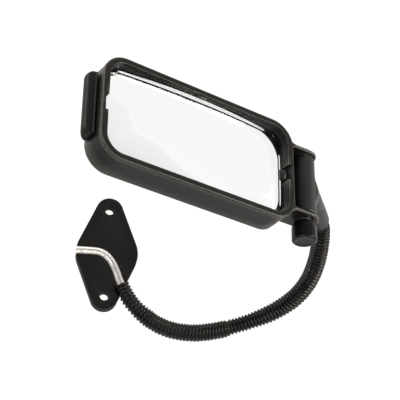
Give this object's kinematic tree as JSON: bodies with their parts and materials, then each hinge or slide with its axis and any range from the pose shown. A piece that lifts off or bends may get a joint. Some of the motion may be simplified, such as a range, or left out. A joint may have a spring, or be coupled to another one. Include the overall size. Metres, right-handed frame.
{
  "type": "flexible-arm viewing lens",
  "caption": "Deep rectangular frame with a clear convex lens, clamped to a bendable sleeved arm that rises from a lozenge mounting plate.",
  "frame": {"origin": "centre of the mounting plate's flat back face", "axes": "+Z out of the plate's front, away from the surface it is screwed to; +Y along the plate's long axis and its two screw holes; +X towards the side on which the arm loops out"},
  "size_m": [0.2359, 0.1498, 0.253],
  "materials": {
    "plate_black": "matte moulded",
    "rod_aluminium": "bright drawn",
    "loom_black": "semi-gloss corrugated",
    "frame_black": "satin moulded",
    "lens_clear": "polished clear",
    "clip_black": "satin moulded",
    "grip_black": "semi-gloss moulded",
    "barrel_black": "satin moulded",
    "steel": "zinc plated",
    "nylon": "black nylon",
    "brass_insert": "turned",
    "knob_black": "semi-gloss moulded"
  },
  "bodies": {
    "base": {"mount_plate": "plate_black", "arm_rod_lower": "rod_aluminium", "sleeve_lower": "loom_black"},
    "arm_middle": {"arm_rod_middle": "rod_aluminium", "sleeve_middle": "loom_black"},
    "arm_top": {"arm_rod_upper": "rod_aluminium", "sleeve_upper": "loom_black", "hinge_barrel": "barrel_black", "rod_cross_pin": "steel", "barrel_bush": "nylon"},
    "head": {"mirror_frame": "frame_black", "lens": "lens_clear", "lens_clip_right": "clip_black", "lens_clip_left": "clip_black", "lens_clip_top": "clip_black", "lens_clip_bottom": "clip_black", "side_grip": "grip_black", "friction_washer_upper": "nylon", "friction_washer_lower": "nylon", "captive_nut": "steel"},
    "knob": {"clamp_knob": "knob_black", "knob_insert": "brass_insert", "clamp_stud": "steel", "knob_washer": "steel"}
  },
  "joints": [
    {"name": "arm_bend_low", "type": "hinge", "parent": "base", "child": "arm_middle", "pos_m": [0.06138, -0.06925, 0.00928], "axis": [0, 0, 1], "range_deg": [-20, 20]},
    {"name": "arm_bend_top", "type": "hinge", "parent": "arm_middle", "child": "arm_top", "pos_m": [0.16542, -0.04379, 0.03403], "axis": [0.5438, -0.8392, 0], "range_deg": [-20, 20]},
    {"name": "head_swivel", "type": "hinge", "parent": "arm_top", "child": "head", "pos_m": [0.14962, 0.01688, 0.1525], "axis": [-0.0028, 0.9959, -0.0904], "range_deg": [-45, 100]},
    {"name": "knob_turn", "type": "hinge", "parent": "head", "child": "knob", "pos_m": [0.14962, 0.01688, 0.1525], "axis": [-0.0028, 0.9959, -0.0904], "range_deg": [0, 360]}
  ]
}
